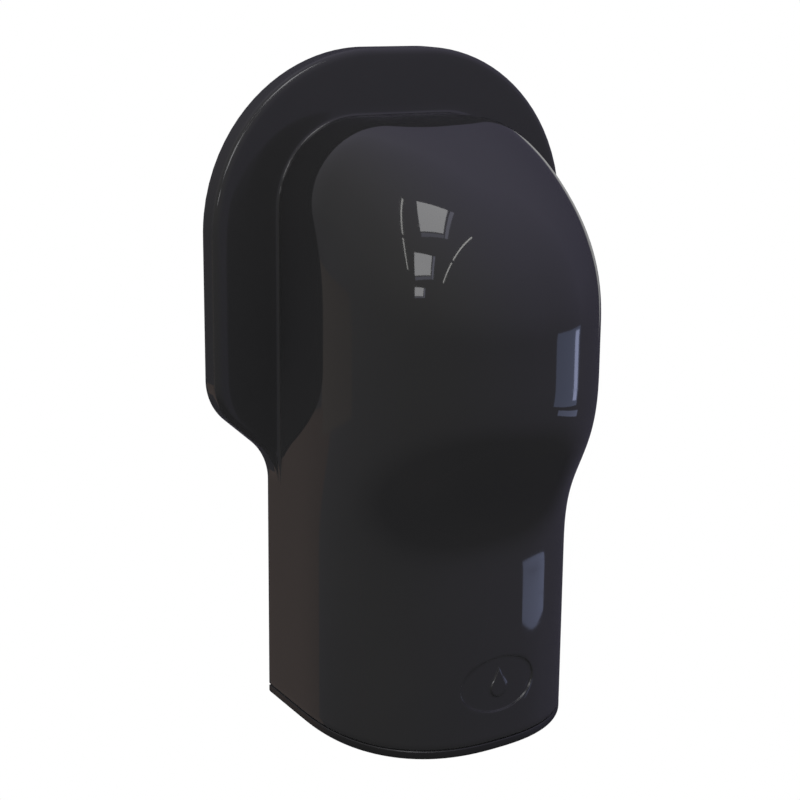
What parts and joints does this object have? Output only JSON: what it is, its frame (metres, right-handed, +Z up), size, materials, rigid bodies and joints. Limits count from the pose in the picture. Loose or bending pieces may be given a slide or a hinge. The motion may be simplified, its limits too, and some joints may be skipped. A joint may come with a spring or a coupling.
{
  "type": "wall mounted soap dispenser",
  "caption": "Wall mounted liquid soap dispenser: gloss black lift-off hood with a wide wall flange and domed head, hidden refill bottle and push-up pump below.",
  "frame": {"origin": "on the back face of the wall plate, on the centre line, 150 mm above the underside of the base plate", "axes": "+Y into the wall, +Z up, +X to the right as seen facing the dispenser; the hood stands out along -Y"},
  "size_m": [0.1778, 0.1209, 0.3015],
  "materials": {
    "hood_gloss": "high gloss black, moulded ABS",
    "base_plastic": "satin black",
    "button_plastic": "satin black",
    "chassis_plastic": "satin dark grey",
    "bottle_plastic": "milky polyethylene",
    "pump_plastic": "white polypropylene",
    "rubber": "soft black",
    "silicone": "translucent grey",
    "steel": "stainless",
    "lock_chrome": "plated",
    "lock_brass": "machined"
  },
  "bodies": {
    "chassis": {"wall_plate": "chassis_plastic", "base_plate": "base_plastic", "base_screw_left": "steel", "base_screw_right": "steel", "bottle_cradle": "chassis_plastic", "cradle_screw_left": "steel", "cradle_screw_right": "steel", "bottle_clip": "steel", "clip_screw": "steel", "refill_bottle": "bottle_plastic", "bottle_closure": "pump_plastic", "neck_gasket": "rubber", "pump_cylinder": "pump_plastic", "inlet_ball": "steel", "ball_retainer": "pump_plastic", "return_spring": "steel", "stem_guide": "pump_plastic", "lock_barrel": "lock_chrome", "lock_nut": "lock_chrome"},
    "hood": {"housing_shell": "hood_gloss"},
    "lock": {"lock_core": "lock_brass", "lock_cam": "steel", "cam_screw": "steel"},
    "pump_head": {"piston_stem": "pump_plastic", "piston_seal": "rubber", "palm_button": "button_plastic", "nozzle_tip": "silicone"}
  },
  "joints": [
    {"name": "hood_lift", "type": "slide", "parent": "chassis", "child": "hood", "axis": [0, 0, 1], "range_m": [0, 0.012]},
    {"name": "key_turn", "type": "hinge", "parent": "chassis", "child": "lock", "pos_m": [0, -0.081, -0.142], "axis": [0, 0, -1], "range_deg": [0, 90]},
    {"name": "palm_press", "type": "slide", "parent": "chassis", "child": "pump_head", "axis": [0, 0, 1], "range_m": [0, 0.008], "stiffness_N_per_m": 1200, "springref_m": -0.004, "deforming": ["return_spring"]}
  ]
}
